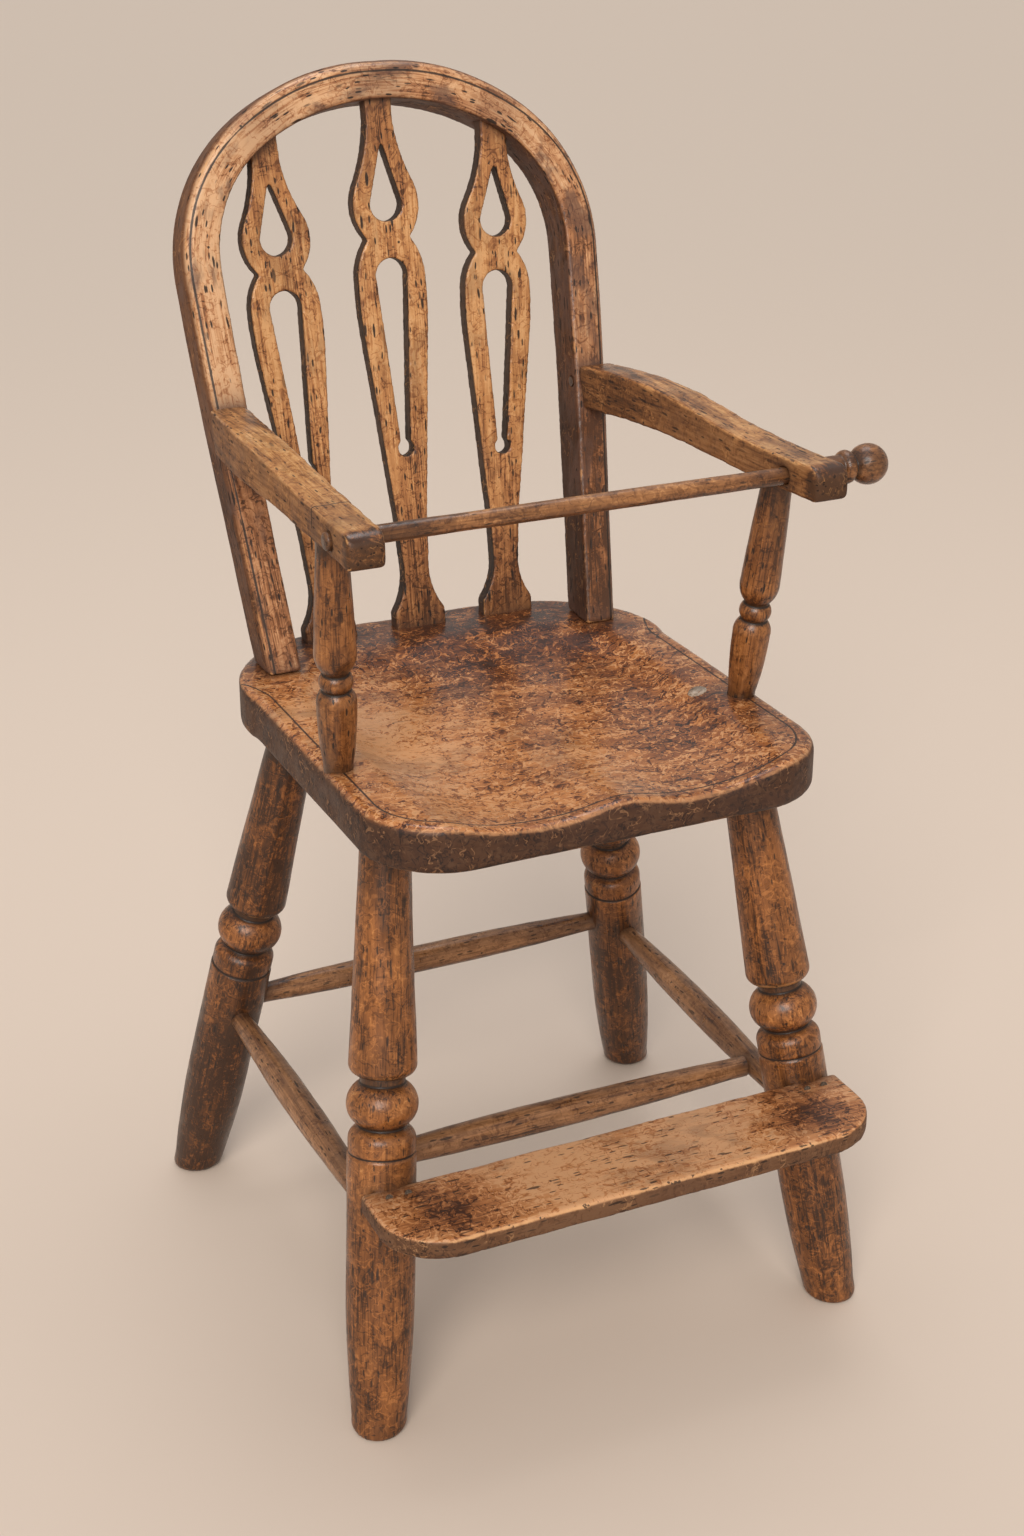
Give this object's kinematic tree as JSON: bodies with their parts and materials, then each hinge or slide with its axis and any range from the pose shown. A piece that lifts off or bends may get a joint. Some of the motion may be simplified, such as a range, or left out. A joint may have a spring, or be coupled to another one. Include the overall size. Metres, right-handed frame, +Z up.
{
  "type": "high chair",
  "caption": "Wooden child's high chair with turned legs, saddled seat, bowed back with pierced splats, curved arms, footrest board and a bar that slides out sideways through the arms.",
  "frame": {"origin": "on the floor under the middle of the chair, on its plane of symmetry", "axes": "+Z up, the chair faces -Y, +X towards the bar's knob (right as seen from the front)"},
  "size_m": [0.4852, 0.5475, 0.9439],
  "materials": {
    "seat_wood": "worn wax over a reddish brown stain",
    "plug_wood": "grey weathered end grain",
    "bow_wood": "worn satin wax",
    "footrest_wood": "worn wax, pale at the front edge",
    "nail_iron": "dark, dull",
    "peg_wood": "dark end grain",
    "bar_wood": "dark satin",
    "splat_wood": "worn satin wax",
    "arm_wood": "worn satin wax, dark at the ends",
    "support_wood": "worn satin wax",
    "leg_wood": "worn satin wax",
    "stretcher_wood": "dark satin"
  },
  "bodies": {
    "chair": {"seat": "seat_wood", "seat_plug": "plug_wood", "bow": "bow_wood", "footrest": "footrest_wood", "footrest_nails": "nail_iron", "arm_pegs": "peg_wood", "centre_splat": "splat_wood", "left_splat": "splat_wood", "right_splat": "splat_wood", "left_arm": "arm_wood", "right_arm": "arm_wood", "left_arm_support": "support_wood", "right_arm_support": "support_wood", "front_left_leg": "leg_wood", "front_right_leg": "leg_wood", "rear_left_leg": "leg_wood", "rear_right_leg": "leg_wood", "left_side_stretcher": "stretcher_wood", "right_side_stretcher": "stretcher_wood", "front_stretcher": "stretcher_wood", "rear_stretcher": "stretcher_wood"},
    "bar": {"restraining_bar": "bar_wood", "bar_knob": "bar_wood"}
  },
  "joints": [
    {"name": "bar_slide", "type": "slide", "parent": "chair", "child": "bar", "axis": [1, 0, 0], "range_m": [0, 0.392]}
  ]
}
